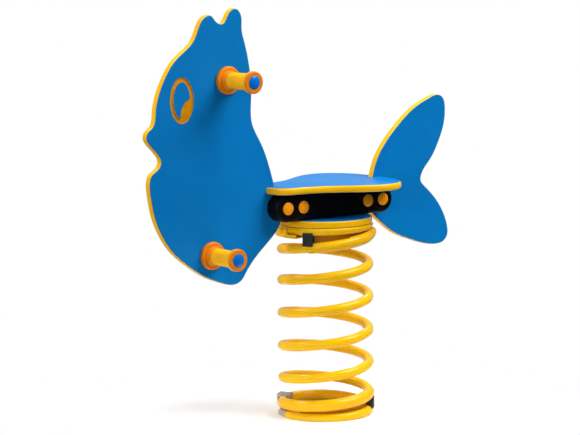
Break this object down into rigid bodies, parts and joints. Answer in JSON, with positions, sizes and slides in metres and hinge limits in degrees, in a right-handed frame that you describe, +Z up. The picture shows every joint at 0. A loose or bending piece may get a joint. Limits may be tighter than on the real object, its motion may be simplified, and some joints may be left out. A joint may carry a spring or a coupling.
{
  "type": "spring rider",
  "caption": "Fish-shaped playground spring rider: plastic board figure with seat, hand grips and foot rests on a coil spring that rocks, sways and bounces.",
  "frame": {"origin": "on the spring's axis, at ground level on the underside of the base plate", "axes": "+Z up along the spring's axis; -X is where the fish looks and the rider faces; -Y is the rider's left"},
  "size_m": [0.7839, 0.2576, 0.8517],
  "materials": {
    "spring_paint": "gloss",
    "zinc_steel": "satin",
    "yellow_sleeve": "gloss",
    "black_rubber": "matte",
    "blue_board": "satin",
    "black_beam": "satin",
    "orange_plastic": "gloss",
    "blue_plastic": "gloss"
  },
  "bodies": {
    "base": {"base_plate": "zinc_steel", "lower_spring_clamps": "zinc_steel", "lower_clamp_bolts": "zinc_steel", "lower_finger_guard": "black_rubber", "lower_coil_sleeve": "yellow_sleeve", "spring_coil_1": "spring_paint"},
    "spring_stage_1": {"spring_coil_2": "spring_paint"},
    "spring_stage_2": {"spring_coil_3": "spring_paint"},
    "spring_stage_3": {"spring_coil_4": "spring_paint"},
    "spring_stage_4": {"spring_coil_5": "spring_paint"},
    "spring_stage_5": {"spring_coil_6": "spring_paint"},
    "spring_stage_6": {"spring_coil_7": "spring_paint"},
    "rider": {"spring_coil_8": "spring_paint", "upper_coil_sleeve": "yellow_sleeve", "upper_finger_guard": "black_rubber", "top_plate": "zinc_steel", "upper_spring_clamps": "spring_paint", "upper_clamp_set_screw": "spring_paint", "upper_clamp_bolts": "zinc_steel", "spring_disc": "blue_board", "deck_bolts": "zinc_steel", "left_beam": "black_beam", "right_beam": "black_beam", "side_bolts": "zinc_steel", "side_nuts": "zinc_steel", "side_washers": "zinc_steel", "left_bolt_caps": "orange_plastic", "right_bolt_caps": "orange_plastic", "seat_board": "blue_board", "seat_screws": "zinc_steel", "head_panel": "blue_board", "tail_panel": "blue_board", "left_hand_grip": "orange_plastic", "right_hand_grip": "orange_plastic", "left_foot_rest": "orange_plastic", "right_foot_rest": "orange_plastic", "hand_rod": "zinc_steel", "foot_rod": "zinc_steel", "rod_nuts": "zinc_steel", "rod_washers": "zinc_steel", "handle_end_plugs": "blue_plastic"}
  },
  "joints": [
    {"name": "sway_lower", "type": "hinge", "parent": "base", "child": "spring_stage_1", "pos_m": [0, 0, 0.0604], "axis": [1, 0, 0], "range_deg": [-5.5, 5.5], "stiffness_Nm_per_rad": 996, "springref_deg": 0.01, "deforming": ["spring_coil_2"]},
    {"name": "rock_lower", "type": "hinge", "parent": "spring_stage_1", "child": "spring_stage_2", "pos_m": [0, 0, 0.1064], "axis": [0, -1, 0], "range_deg": [-8.5, 8.5], "stiffness_Nm_per_rad": 996, "springref_deg": -0.35, "deforming": ["spring_coil_3"]},
    {"name": "bounce_lower", "type": "slide", "parent": "spring_stage_2", "child": "spring_stage_3", "axis": [0, 0, 1], "range_m": [-0.01, 0.003], "stiffness_N_per_m": 108400, "springref_m": 0.00125, "deforming": ["spring_coil_4"]},
    {"name": "twist", "type": "hinge", "parent": "spring_stage_3", "child": "spring_stage_4", "pos_m": [0, 0, 0.2013], "axis": [0, 0, 1], "range_deg": [-5, 5], "stiffness_Nm_per_rad": 572, "deforming": ["spring_coil_5"]},
    {"name": "bounce_upper", "type": "slide", "parent": "spring_stage_4", "child": "spring_stage_5", "axis": [0, 0, 1], "range_m": [-0.01, 0.003], "stiffness_N_per_m": 108400, "springref_m": 0.00107, "deforming": ["spring_coil_6"]},
    {"name": "rock_upper", "type": "hinge", "parent": "spring_stage_5", "child": "spring_stage_6", "pos_m": [0, 0, 0.2963], "axis": [0, -1, 0], "range_deg": [-8.5, 8.5], "stiffness_Nm_per_rad": 996, "springref_deg": -0.35, "deforming": ["spring_coil_7"]},
    {"name": "sway_upper", "type": "hinge", "parent": "spring_stage_6", "child": "rider", "pos_m": [0, 0, 0.3437], "axis": [1, 0, 0], "range_deg": [-5.5, 5.5], "stiffness_Nm_per_rad": 996, "springref_deg": -0.01}
  ],
  "couplings": [
    {"joint": "sway_upper", "follows": "sway_lower", "ratio": 1},
    {"joint": "rock_upper", "follows": "rock_lower", "ratio": 1},
    {"joint": "bounce_upper", "follows": "bounce_lower", "ratio": 1}
  ]
}
